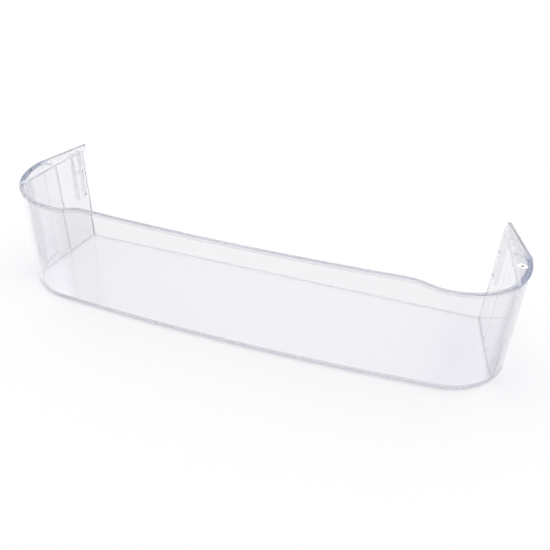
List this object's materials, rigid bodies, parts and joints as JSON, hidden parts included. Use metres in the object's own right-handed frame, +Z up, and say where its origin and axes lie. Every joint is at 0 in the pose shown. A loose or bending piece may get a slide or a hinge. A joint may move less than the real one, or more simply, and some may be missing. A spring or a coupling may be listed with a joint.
{
  "type": "fridge door shelf",
  "caption": "Clear moulded fridge door shelf: an open-backed tray with a bowed front wall, raised rim, double-walled ends, and a hook channel on each end for the door liner's boss.",
  "frame": {"origin": "on the plane the floor rests on, below the centre of the shelf", "axes": "+X along the shelf, +Y from the front wall to the open rear edge at the door, +Z up"},
  "size_m": [0.4542, 0.1254, 0.1058],
  "materials": {
    "clear_plastic": "clear, polished, with a faint blue tint"
  },
  "bodies": {
    "root": {"door_shelf": "clear_plastic"}
  },
  "joints": []
}
